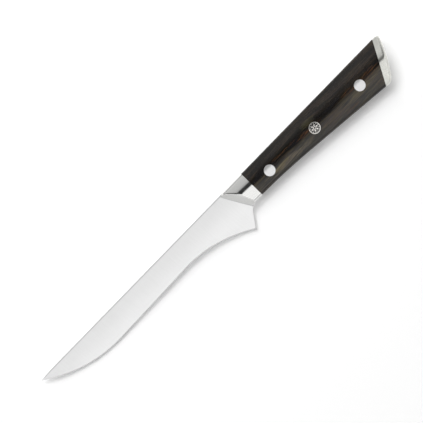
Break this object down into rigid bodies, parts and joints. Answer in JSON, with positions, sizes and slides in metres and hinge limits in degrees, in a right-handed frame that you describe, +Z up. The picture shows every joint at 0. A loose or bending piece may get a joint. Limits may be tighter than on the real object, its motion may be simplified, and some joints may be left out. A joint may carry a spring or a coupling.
{
  "type": "boning knife",
  "caption": "Fixed-blade boning knife for butchery: a hollow-ground blade with a deep pointed heel, steel bolster cheeks, ridged dark wood scales, flush pins and a slanted steel end cap.",
  "frame": {"origin": "on the surface the knife lies on, under the middle of its outline box", "axes": "the knife lies on the flat lower facet of its right side: +X from tip to butt, +Y from cutting edge to spine, +Z up, out of the blade's left side and 13 degrees off square to it"},
  "size_m": [0.28, 0.0284, 0.0184],
  "materials": {
    "blade_steel": "fine satin ground stainless steel",
    "polished_steel": "mirror polished stainless steel",
    "dark_wood": "oiled and buffed, near black with brown streaks",
    "epoxy_film": "black epoxy, sanded flush",
    "rivet_steel": "satin stainless steel",
    "pin_metal": "satin nickel silver",
    "pin_resin": "black casting resin, sanded flush"
  },
  "bodies": {
    "root": {"blade": "blade_steel", "bolster_left": "polished_steel", "bolster_right": "polished_steel", "scale_left": "dark_wood", "scale_right": "dark_wood", "bond_left": "epoxy_film", "bond_right": "epoxy_film", "front_rivet_male": "rivet_steel", "front_rivet_female": "rivet_steel", "rear_rivet_male": "rivet_steel", "rear_rivet_female": "rivet_steel", "mosaic_tube": "pin_metal", "mosaic_core": "pin_metal", "mosaic_rods": "pin_metal", "mosaic_wires": "pin_metal", "mosaic_resin": "pin_resin", "end_cap": "polished_steel"}
  },
  "joints": []
}
